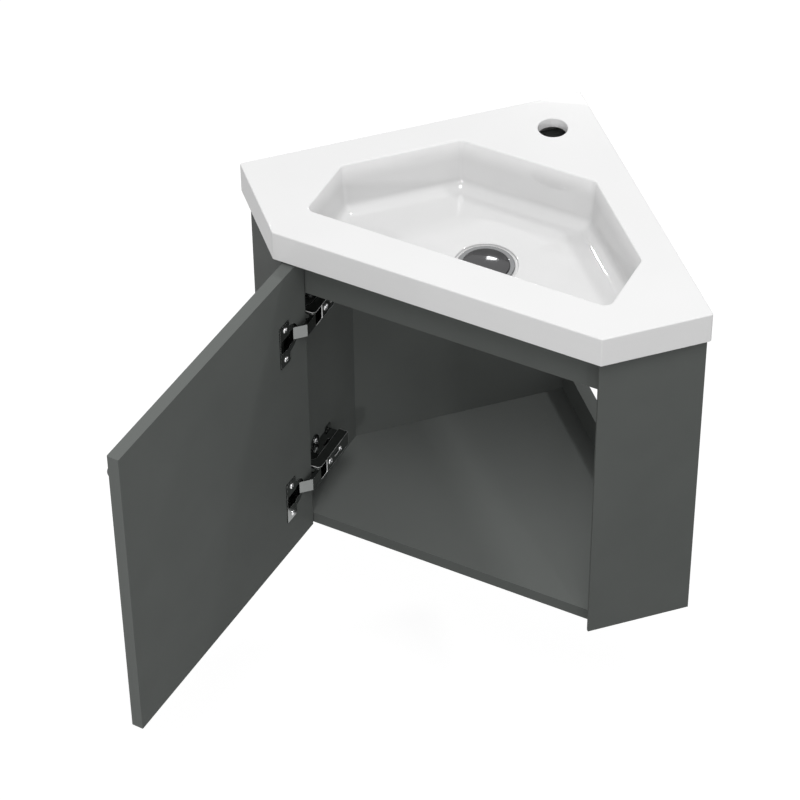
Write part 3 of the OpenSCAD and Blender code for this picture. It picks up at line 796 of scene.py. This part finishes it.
@dataclass
class Basin:
    """The five-sided cast basin with its angular bowl, in millimetres."""

    wall_len: float = 420.0
    end_len: float = 131.0
    rim_t: float = 40.0
    shell_t: float = 8.0
    bowl_w: float = 377.0
    wall_gap: float = 42.5
    back: float = 145.5
    front_rim: float = 53.5
    wall_d: float = 48.0
    draft: float = 0.08
    fillet: float = 18.0
    foot_turn: float = 86.0
    corner_r: float = 10.0
    fall: float = 7.0
    waste: Point2 = (0.0, -256.0)
    waste_hole_r: float = 23.0
    recess_r: float = 37.5
    recess_t: float = 3.0
    recess_edge: float = 1.2
    boss_t: float = 3.0
    boss_drop: float = 1.0
    tap: Point2 = (0.0, -77.5)
    tap_r: float = 17.5
    tap_ledge_t: float = 13.4
    hollow_off_wall: float = 10.0
    hollow_front: float = 128.0
    hollow_corner_r: float = 4.0
    lip_r: float = 2.4
    top_r: float = 1.6
    bottom_r: float = 1.0
    upright_r: float = 3.0
    arc_steps: int = 8
    side_steps: int = 14
    tap_count: int = 96

    @property
    def foot_d(self) -> float:
        """Depth at which the bowl's wall meets its floor."""
        return self.wall_d + self.fillet

    @property
    def floor_d(self) -> float:
        """Depth of the floor at the waste."""
        return self.foot_d + self.fall

    @property
    def foot(self) -> Ring:
        """The ring where the bowl's fillet meets its floor."""
        turn = math.radians(self.foot_turn)
        return self.fillet_ring(math.sin(turn), math.cos(turn))

    @property
    def under(self) -> float:
        """Height of the shell's underside at the waste."""
        return -self.floor_d - self.recess_t - self.shell_t - self.boss_drop

    def corners(self, inset: float) -> list[Point2]:
        """Gives the bowl's six corners with every edge moved in.

        Args:
            inset: How far each edge moves in.
        """
        side = self.bowl_w / 2 - inset
        front = -((self.wall_len + self.end_len) / ROOT2 - self.front_rim) + inset
        back = self.back + inset
        cut = (self.wall_gap + inset) * ROOT2
        return [
            (side, front), (side, -side - cut), (back - cut, -back),
            (cut - back, -back), (-side, -side - cut), (-side, front),
        ]

    def outline(self, corners: Sequence[Point2], radius: float, height: float) -> Ring:
        """Draws a ring with rounded corners round corner centres.

        Args:
            corners: The corners' centres, anticlockwise.
            radius: The corners' radius.
            height: The ring's height.

        Returns:
            The ring's points, as many for every ring of the same polygon.
        """
        count = len(corners)
        normals = []
        for i in range(count):
            ahead = Vector(corners[(i + 1) % count]) - Vector(corners[i])
            normals.append(math.atan2(-ahead.x, ahead.y))
        points: Ring = []
        for i, corner in enumerate(corners):
            start, end = normals[i - 1], normals[i]
            while end < start:
                end += 2 * math.pi
            for step in range(self.arc_steps + 1):
                turn = start + (end - start) * step / self.arc_steps
                points.append(spoke(corner, radius, turn, height))
            first = Vector(points[-1])
            last = Vector(spoke(corners[(i + 1) % count], radius, end, height))
            for step in range(1, self.side_steps):
                points.append(tuple(first.lerp(last, step / self.side_steps)))
        return points

    def bowl_ring(self, inset: float, height: float, grow: float = 0.0) -> Ring:
        """Draws the bowl's outline at one level.

        Args:
            inset: How far the edges move in.
            height: The level.
            grow: Thickness added outside, for the shell.
        """
        radius = self.corner_r + grow
        if inset < 0.0:
            return self.outline(self.corners(self.corner_r), radius - inset, height)
        return self.outline(self.corners(inset + self.corner_r), radius, height)

    def slab_corners(self, inset: float) -> list[Point2]:
        """Gives the slab's five corners with every edge moved in."""
        side = self.wall_len - inset
        front = (self.wall_len + self.end_len) / ROOT2 - inset
        (ax, ay), (bx, by) = (
            ((side - off) / ROOT2, -(side + off) / ROOT2) for off in (front * ROOT2 - side, inset)
        )
        return [(-ax, ay), (ax, ay), (bx, by), (0.0, -inset * ROOT2), (-bx, by)]

    def slab_ring(self, inset: float, height: float) -> Ring:
        """Draws the slab's outline at one level."""
        return self.outline(self.slab_corners(self.upright_r), self.upright_r - inset, height)

    def hollow_ring(self, inset: float, height: float) -> Ring:
        """Draws the three-cornered hollow under the tap ledge at one level."""
        apex = -(self.hollow_off_wall + inset) * ROOT2
        front = -self.hollow_front + inset
        radius = self.hollow_corner_r
        side = apex - front - radius * (1.0 + ROOT2)
        corners = [
            (0.0, apex - radius * ROOT2), (-side, front + radius), (side, front + radius)
        ]
        return self.outline(corners, radius, height)

    def round_waste(self, radius: float, height: float) -> Ring:
        """Draws a circle round the waste whose points face those of the foot."""
        return [
            spoke(self.waste, radius, math.atan2(y - self.waste[1], x - self.waste[0]), height)
            for x, y, _ in self.foot
        ]

    def fillet_ring(self, sine: float, cosine: float, grow: float = 0.0) -> Ring:
        """Draws a ring of the fillet between the bowl's wall and its floor.

        Args:
            sine: Sine of the ring's angle down the fillet.
            cosine: Cosine of that angle.
            grow: Thickness added outside, for the shell.
        """
        return self.bowl_ring(
            self.wall_d * self.draft + self.fillet * (1 - cosine),
            -self.wall_d - grow * sine - self.fillet * sine,
            grow,
        )

    def bowl_rings(self) -> list[Ring]:
        """Draws the bowl's rim lip, wall, fillet, floor and recess and the waste's bore."""
        lip = self.lip_r
        rings = [self.bowl_ring(-lip * (1 - sine), -lip * (1 - cosine)) for sine, cosine in arc(6)]
        for step in range(1, 5):
            depth = lip + (self.wall_d - lip) * step / 4
            rings.append(self.bowl_ring(depth * self.draft, -depth))
        rings += [self.fillet_ring(*turn) for turn in arc(10, 1, self.foot_turn)]
        floor, seat = -self.floor_d, -self.floor_d - self.recess_t
        mouth = self.round_waste(self.recess_r + self.recess_edge, floor)
        rings += [between(self.foot, mouth, step / 9) for step in range(1, 9)]
        rings.append(mouth)
        for radius, height in (
            (self.recess_r + 0.35, floor - 0.35), (self.recess_r, floor - self.recess_edge),
            (self.recess_r, seat), (self.waste_hole_r, seat), (self.waste_hole_r, self.under),
        ):
            rings.append(self.round_waste(radius, height))
        return rings

    def shell_rings(self) -> list[Ring]:
        """Draws the shell's underside from the waste out and up to the slab."""
        shell = self.shell_t
        low = self.round_waste(self.recess_r + self.boss_t, self.under)
        outer = self.bowl_ring(self.wall_d * self.draft + self.fillet, -self.foot_d - shell, shell)
        rings = [low, between(low, outer, 0.35), between(low, outer, 0.7)]
        rings += [self.fillet_ring(*turn, shell) for turn in reversed(list(arc(6)))]
        rings.append(self.bowl_ring(self.rim_t * self.draft, -self.rim_t, shell))
        return rings

    def slab_rings(self) -> list[Ring]:
        """Draws the slab's top edge, upright edge and bottom edge."""
        top, bottom = self.top_r, self.bottom_r
        rings = [self.slab_ring(top * (1 - sine), -top * (1 - cosine)) for sine, cosine in arc(5)]
        rings += [
            self.slab_ring(bottom * (1 - cosine), -self.rim_t + bottom * (1 - sine))
            for sine, cosine in arc(4)
        ]
        return rings

    def tap_rings(self) -> list[Ring]:
        """Draws the tap hole with its rounded edges."""
        ledge = -self.tap_ledge_t
        profile = (
            (1.2, 0.0), (0.6, -0.16), (0.16, -0.6), (0.0, -1.2),
            (0.0, ledge + 0.8), (0.24, ledge + 0.24), (0.8, ledge),
        )
        return [circle(self.tap, self.tap_r + grow, z, self.tap_count) for grow, z in profile]

    def hollow_rings(self) -> list[Ring]:
        """Draws the hollow under the tap ledge."""
        ledge = -self.tap_ledge_t
        profile = ((4.0, ledge), (1.2, ledge - 1.2), (0.0, ledge - 4.0), (0.0, -self.rim_t))
        return [self.hollow_ring(inset, height) for inset, height in profile]

    def skin(self) -> Skin:
        """Builds the whole basin as one closed skin."""
        skin = Skin()
        bowl = skin.sleeve(self.bowl_rings() + self.shell_rings())
        slab = skin.sleeve(self.slab_rings())
        tap = skin.sleeve(self.tap_rings())
        hollow = skin.sleeve(self.hollow_rings())
        skin.plate([slab[0], bowl[0], tap[0]])
        skin.plate([hollow[0], tap[-1]])
        skin.plate([slab[-1], bowl[-1], hollow[-1]])
        return skin

    def build(self, shop: Workshop) -> None:
        """Builds and dresses the basin."""
        mesh = self.skin().mesh("basin_cast")
        shop.piece(mesh, Body.CABINET, Slot.CAST, ["basin"], crease=50.0)


# ---- Plug ----


@dataclass
class PlugCap:
    """The plug's domed cap, in millimetres."""

    centre: Point2 = (0.0, -256.0)
    rim_z: float = -73.3
    rim_h: float = 1.0
    edge_r: float = 1.0
    cap_r: float = 28.0
    dome_r: float = 150.0
    boss_r: float = 13.0
    boss_d: float = 5.7
    stem_r: float = 4.05
    dome_steps: int = 16
    count: int = 128

    def profile(self) -> list[Point2]:
        """Gives the cap's half section, from the pole down and back inside."""
        rim, boss = self.rim_z, self.rim_z - self.boss_d
        sag = self.cap_r ** 2 / (2 * self.dome_r)
        points: list[Point2] = []
        for step in range(self.dome_steps + 1):
            radius = (self.cap_r - self.edge_r) * step / self.dome_steps
            points.append((radius, rim + self.rim_h + sag - radius * radius / (2 * self.dome_r)))
        top = points[-1][1]
        return points + [
            (self.cap_r - 0.55, top - 0.12), (self.cap_r - 0.2, top - 0.4),
            (self.cap_r, top - 0.8), (self.cap_r, rim + 0.3), (self.cap_r - 0.3, rim),
            (self.boss_r, rim), (self.boss_r, boss + 0.1), (self.boss_r - 0.4, boss),
            (self.stem_r, boss), (0.0, boss),
        ]

    def build(self, shop: Workshop) -> None:
        """Builds and dresses the cap."""
        skin = Skin()
        skin.turned(self.profile(), self.count, self.centre)
        shop.piece(
            skin.mesh("plug_cap_domed"), Body.PLUG, Slot.CHROME, ["plug_cap"],
            finish=shop.finishes.dark_chrome, crease=50.0,
        )


# ---- Door furniture ----


@dataclass
class OpenDoor:
    """Places what is drawn on the closed door where the open door stands."""

    axis: Point2 = (-184.8, -372.0)
    angle: float = 93.0

    def place(self) -> Matrix:
        """Gives the matrix from the closed door to the open one, in metres."""
        pivot = Matrix.Translation(Vector((self.axis[0], self.axis[1], 0.0)) * MM)
        return pivot @ Matrix.Rotation(math.radians(-self.angle), 4, "Z") @ pivot.inverted()


@dataclass
class Knob:
    """The turned knob on the door's front, in millimetres."""

    place_x: float = 166.8
    face_y: float = -380.4
    height_z: float = -94.0
    ball_r: float = 7.5
    height: float = 18.5
    neck_share: float = 0.55
    foot_share: float = 0.75
    ball_start: float = 0.12
    ball_steps: int = 24
    count: int = 96

    def profile(self) -> list[Point2]:
        """Gives the knob's half section, from its foot to its crown."""
        r, middle = self.ball_r, self.height - self.ball_r
        neck, foot = self.neck_share * r, self.foot_share * r
        points: list[Point2] = [
            (0.0, 0.0), (foot, 0.0), (foot + 0.15, 0.2), (foot + 0.15, 1.1), (foot - 0.1, 1.45),
            (neck + 0.5, 2.2), (neck + 0.1, 3.0), (neck, 3.6),
        ]
        reach = math.pi - math.asin(neck / r) - self.ball_start
        for step in range(self.ball_steps):
            turn = reach - reach * step / self.ball_steps
            points.append((r * math.sin(turn), middle + r * math.cos(turn)))
        return points + [(0.0, self.height)]

    def build(self, shop: Workshop, door: OpenDoor) -> None:
        """Builds and dresses the knob."""
        skin = Skin()
        skin.turned(self.profile(), self.count)
        face = Matrix.Translation(Vector((self.place_x, self.face_y, self.height_z)) * MM)
        out = Matrix.Rotation(math.radians(90.0), 4, "X")
        mesh = skin.mesh("door_knob_turned", door.place() @ face @ out)
        shop.piece(
            mesh, Body.DOOR, Slot.CHROME, ["door_knob"],
            finish=shop.finishes.dark_chrome, crease=50.0,
        )


# ---- Carried CAD nodes ----


@dataclass
class Carcass:
    """The boards and fittings whose CAD solids stay in view.

    Each group has a slot, the width of its rounded edges in millimetres, and its nodes.
    """

    groups: tuple[tuple[Slot, float, tuple[str, ...]], ...] = (
        (Slot.BOARD, 0.5, (
            "side_panel_left", "side_panel_right", "floor_panel", "front_rail", "hinge_panel",
            "back_panel", "back_rail_upper", "back_rail_lower", "door_panel",
        )),
        (Slot.ZINC, 0.15, (
            "cam_locks", "cam_bolts", "arm_pins", "link_pins", "knob_stud", "plug_stem",
        )),
        (Slot.BEECH, 0.4, ("dowels",)),
        (Slot.CHROME, 0.25, ("waste_body", "waste_nut")),
        (Slot.RUBBER, 0.1, ("waste_flange_seal", "waste_under_seal", "plug_seal")),
    )

    def build(self, shop: Workshop) -> None:
        """Dresses the boards and the fittings."""
        for slot, edge, nodes in self.groups:
            for node in nodes:
                shop.dress(node, slot, edge)


@dataclass(frozen=True)
class ScrewRow:
    """The screws of one kind on both hinges, in millimetres and degrees.

    A cross turns by three parts: a first angle, one that the side in a pair adds or takes,
    and one that the lower hinge adds.
    """

    name: str
    node: str
    body: Body
    screw: Screw
    seat: Point2
    gap: float
    rolls: Point3

    def places(self, levels: Sequence[float], turn: Matrix) -> list[Matrix]:
        """Gives each screw's seat in metres.

        Args:
            levels: The hinges' heights.
            turn: The turn that points the head out of its seat.
        """
        places: list[Matrix] = []
        for row, level in enumerate(levels):
            for side in (-1, 1) if self.gap else (0,):
                spot = Vector((*self.seat, level + side * self.gap / 2)) * MM
                roll = self.rolls[0] + self.rolls[1] * side + self.rolls[2] * row
                spin = Matrix.Rotation(math.radians(roll), 4, "Z")
                places.append(Matrix.Translation(spot) @ turn @ spin)
        return places


@dataclass
class HingeSet:
    """The two concealed hinges, in millimetres."""

    levels: Span = (-142.0, -392.0)
    edge: float = 0.5
    rows: tuple[ScrewRow, ...] = (
        ScrewRow(
            "plate_screws_cross", "plate_screws", Body.CABINET, Screw(3.6, 1.6, 1.9, 13.0),
            (-192.997, -325.4), 32.0, (0.0, 15.0, 9.0),
        ),
        ScrewRow(
            "adjusting_screws_cross", "arm_adjusting_screws", Body.CABINET,
            Screw(4.4, 1.5, 2.4, 8.0), (-168.197, -334.4), 0.0, (20.0, 0.0, 31.0),
        ),
        ScrewRow(
            "fixing_screws_cross", "arm_fixing_screws", Body.CABINET,
            Screw(3.4, 1.4, 1.95, 8.0), (-168.197, -309.4), 0.0, (64.0, 0.0, -27.0),
        ),
        ScrewRow(
            "cup_screws_cross", "cup_screws", Body.DOOR, Screw(3.6, 1.5, 1.85, 10.5),
            (-144.1, -363.9), 45.0, (38.0, 17.0, 5.0),
        ),
    )

    def build(self, shop: Workshop, setter: ScrewSetter, door: OpenDoor) -> None:
        """Dresses the hinges' stampings and sets their screws."""
        # The stampings' rounded edges take the painted highlight finish.
        for part in ("mounting_plate", "hinge_arm", "hinge_link", "hinge_cup"):
            for level in ("upper", "lower"):
                shop.dress(f"{part}_{level}", Slot.NICKEL, self.edge, shop.finishes.painted_highlight_edge)
        to_right = Matrix.Rotation(math.radians(90.0), 4, "Y")
        inward = Matrix.Rotation(math.radians(-90.0), 4, "X")
        for row in self.rows:
            if row.body is Body.DOOR:
                places = [door.place() @ seat for seat in row.places(self.levels, inward)]
            else:
                places = row.places(self.levels, to_right)
            mesh = setter.fasten(row.name, row.screw, places, shop.finishes.slots[Slot.ZINC])
            shop.piece(mesh, row.body, Slot.ZINC, [row.node], crease=40.0)


# ---- Studio ----


@dataclass(frozen=True)
class Lamp:
    """A square soft lamp, in metres and watts."""

    name: str
    direction: Point3
    distance: float
    size: float
    power: float

    def hang(self, centre: Point3) -> None:
        """Hangs the lamp on its side of the centre, facing it."""
        data = bpy.data.lights.new(self.name, "AREA")
        data.energy = self.power
        data.size = self.size
        lamp = show(self.name, data)
        ray = Vector(self.direction).normalized()
        lamp.location = Vector(centre) + ray * self.distance
        lamp.rotation_euler = ray.to_track_quat("Z", "Y").to_euler()


@dataclass
class Studio:
    """The camera, lamps, world and floor of the photograph, in metres and degrees."""

    camera_at: Point3 = (1.2400, -2.8761, 2.4264)
    azimuth: float = 27.29822
    elevation: float = 43.11070
    roll: float = -0.65977
    lens: float = 149.77
    sensor: float = 36.0
    far: float = 100.0
    half_pixel: float = 0.5 / 800.0
    world_level: float = 0.43
    floor_z: float = -0.85
    floor_reach: float = 30.0
    floor_matte: float = 0.4
    floor_glow: float = 0.75
    centre: Point3 = (0.0, -0.3, -0.2)
    lamps: tuple[Lamp, ...] = (
        Lamp("key_front", (0.19, -0.44, 0.88), 3.2, 1.3, 38.0),
        Lamp("right_back", (0.37, 0.37, 0.87), 3.2, 0.26, 15.0),
        Lamp("left_back", (-0.54, 0.45, 0.71), 3.2, 0.2, 9.5),
        Lamp("back", (-0.29, 0.765, 0.575), 3.2, 0.3, 4.5),
        Lamp("front", (0.16, -0.93, 0.33), 3.4, 0.2, 13.0),
        Lamp("front_right", (0.68, -0.53, 0.5), 3.4, 0.2, 7.0),
    )

    def camera(self) -> None:
        """Sets the camera at the photograph's place and angle."""
        az, el, roll = (math.radians(v) for v in (self.azimuth, self.elevation, self.roll))
        back = Vector((math.sin(az) * math.cos(el), -math.cos(az) * math.cos(el), math.sin(el)))
        right = Vector((math.cos(az), math.sin(az), 0.0))
        up = back.cross(right)
        c, s = math.cos(roll), math.sin(roll)
        place = Matrix((c * right + s * up, c * up - s * right, back)).transposed().to_4x4()
        place.translation = Vector(self.camera_at)
        data = bpy.data.cameras.new("camera")
        data.sensor_width = self.sensor
        data.lens = self.lens
        data.clip_end = self.far
        data.shift_x, data.shift_y = -self.half_pixel, self.half_pixel
        camera = show("camera", data)
        camera.matrix_world = place
        bpy.context.scene.camera = camera

    @staticmethod
    def backdrop(sheet: Sheet) -> Socket:
        """Gives a factor that is 1 for camera, glossy and transmission rays."""
        path = sheet.add("ShaderNodeLightPath").outputs
        seen = sheet.maths("MAXIMUM", path["Is Camera Ray"], path["Is Glossy Ray"])
        return sheet.maths("MAXIMUM", seen, path["Is Transmission Ray"])

    def world(self) -> None:
        """Makes a white world that lights the object at a plain level."""
        world = bpy.data.worlds.new("studio")
        bpy.context.scene.world = world
        world.use_nodes = True
        sheet = Sheet(world.node_tree)
        mix = sheet.add("ShaderNodeMixShader", Fac=self.backdrop(sheet))
        for socket, level in zip(mix.inputs[1:], (self.world_level, 1.0)):
            sky = sheet.add("ShaderNodeBackground", Color=(1.0, 1.0, 1.0, 1.0), Strength=level)
            sheet.feed(socket, sky.outputs["Background"])
        sheet.add("ShaderNodeOutputWorld", Surface=mix.outputs["Shader"])

    def floor(self) -> None:
        """Lays a plain white floor that still takes the object's shadow."""
        reach, matte_level = self.floor_reach, self.floor_matte
        mesh = bpy.data.meshes.new("floor")
        corners = [(-reach, -reach), (reach, -reach), (reach, reach), (-reach, reach)]
        mesh.from_pydata([(x, y, self.floor_z) for x, y in corners], [], [(0, 1, 2, 3)])
        floor = show("floor", mesh)
        material = bpy.data.materials.new("floor_white")
        material.use_nodes = True
        sheet = Sheet(material.node_tree)
        matte = sheet.add("ShaderNodeBsdfDiffuse", Color=(*[matte_level] * 3, 1.0))
        level = sheet.maths("MULTIPLY", self.backdrop(sheet), self.floor_glow)
        glow = sheet.add("ShaderNodeEmission", Strength=level)
        total = sheet.add("ShaderNodeAddShader")
        sheet.feed(total.inputs[0], matte.outputs["BSDF"])
        sheet.feed(total.inputs[1], glow.outputs["Emission"])
        sheet.add("ShaderNodeOutputMaterial", Surface=total.outputs["Shader"])
        mesh.materials.append(material)

    def build(self) -> None:
        """Sets up the camera, the light and the floor."""
        self.camera()
        self.world()
        for lamp in self.lamps:
            lamp.hang(self.centre)
        self.floor()
        bpy.context.scene.view_settings.view_transform = "Standard"


def main() -> None:
    """Builds the pieces in order, dresses what is carried over and sets the studio."""
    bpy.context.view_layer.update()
    shop = Workshop(Finishes())
    Studio().build()
    Basin().build(shop)
    PlugCap().build(shop)
    Carcass().build(shop)
    door = OpenDoor()
    HingeSet().build(shop, ScrewSetter(), door)
    Knob().build(shop, door)


if __name__ == "__main__":
    main()
